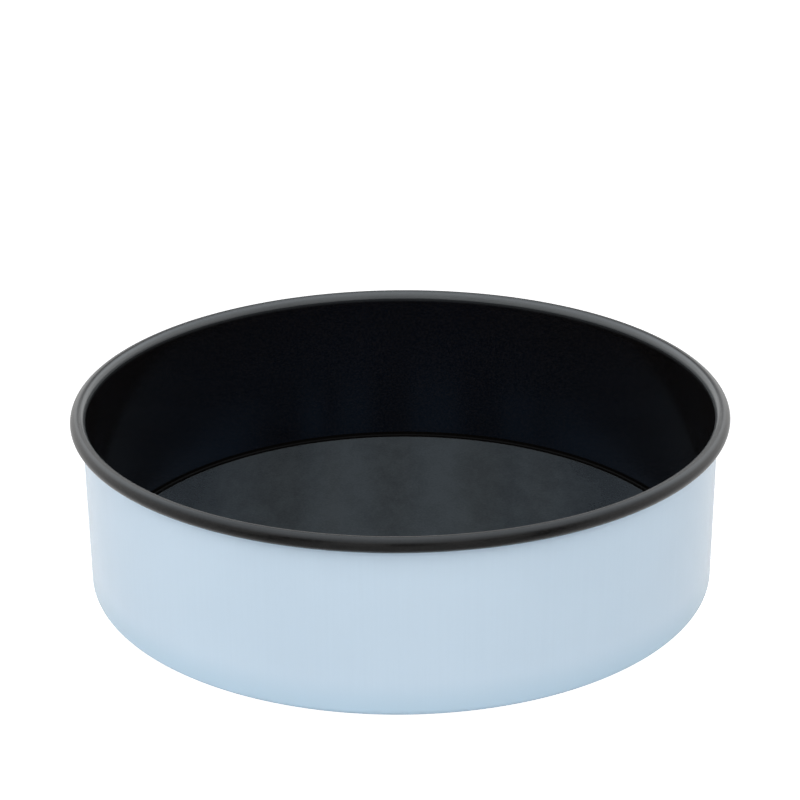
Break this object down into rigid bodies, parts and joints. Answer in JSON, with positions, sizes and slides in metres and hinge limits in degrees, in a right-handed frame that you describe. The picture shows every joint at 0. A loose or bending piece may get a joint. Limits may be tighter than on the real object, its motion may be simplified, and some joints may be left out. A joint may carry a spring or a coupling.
{
  "type": "deep round pizza pan",
  "caption": "Deep round one-piece pizza pan with straight sides, flat floor and a rolled, wired rim; dark non-stick inside, pale blue coat outside.",
  "frame": {"origin": "centre of the underside, on the surface that the pan stands on", "axes": "+Z is the pan's axis, up out of its open top; X and Y are alike"},
  "size_m": [0.2722, 0.2722, 0.075],
  "materials": {
    "sheet_steel": "bare cut edge of the cold-rolled sheet, matt",
    "lining": "near-black non-stick coat with fine speckle, satin",
    "lacquer": "pale blue lacquer, satin",
    "wire_steel": "drawn wire, bare"
  },
  "bodies": {
    "root": {"drawn_shell": "sheet_steel", "nonstick_lining": "lining", "outer_lacquer": "lacquer", "rim_wire": "wire_steel"}
  },
  "joints": []
}
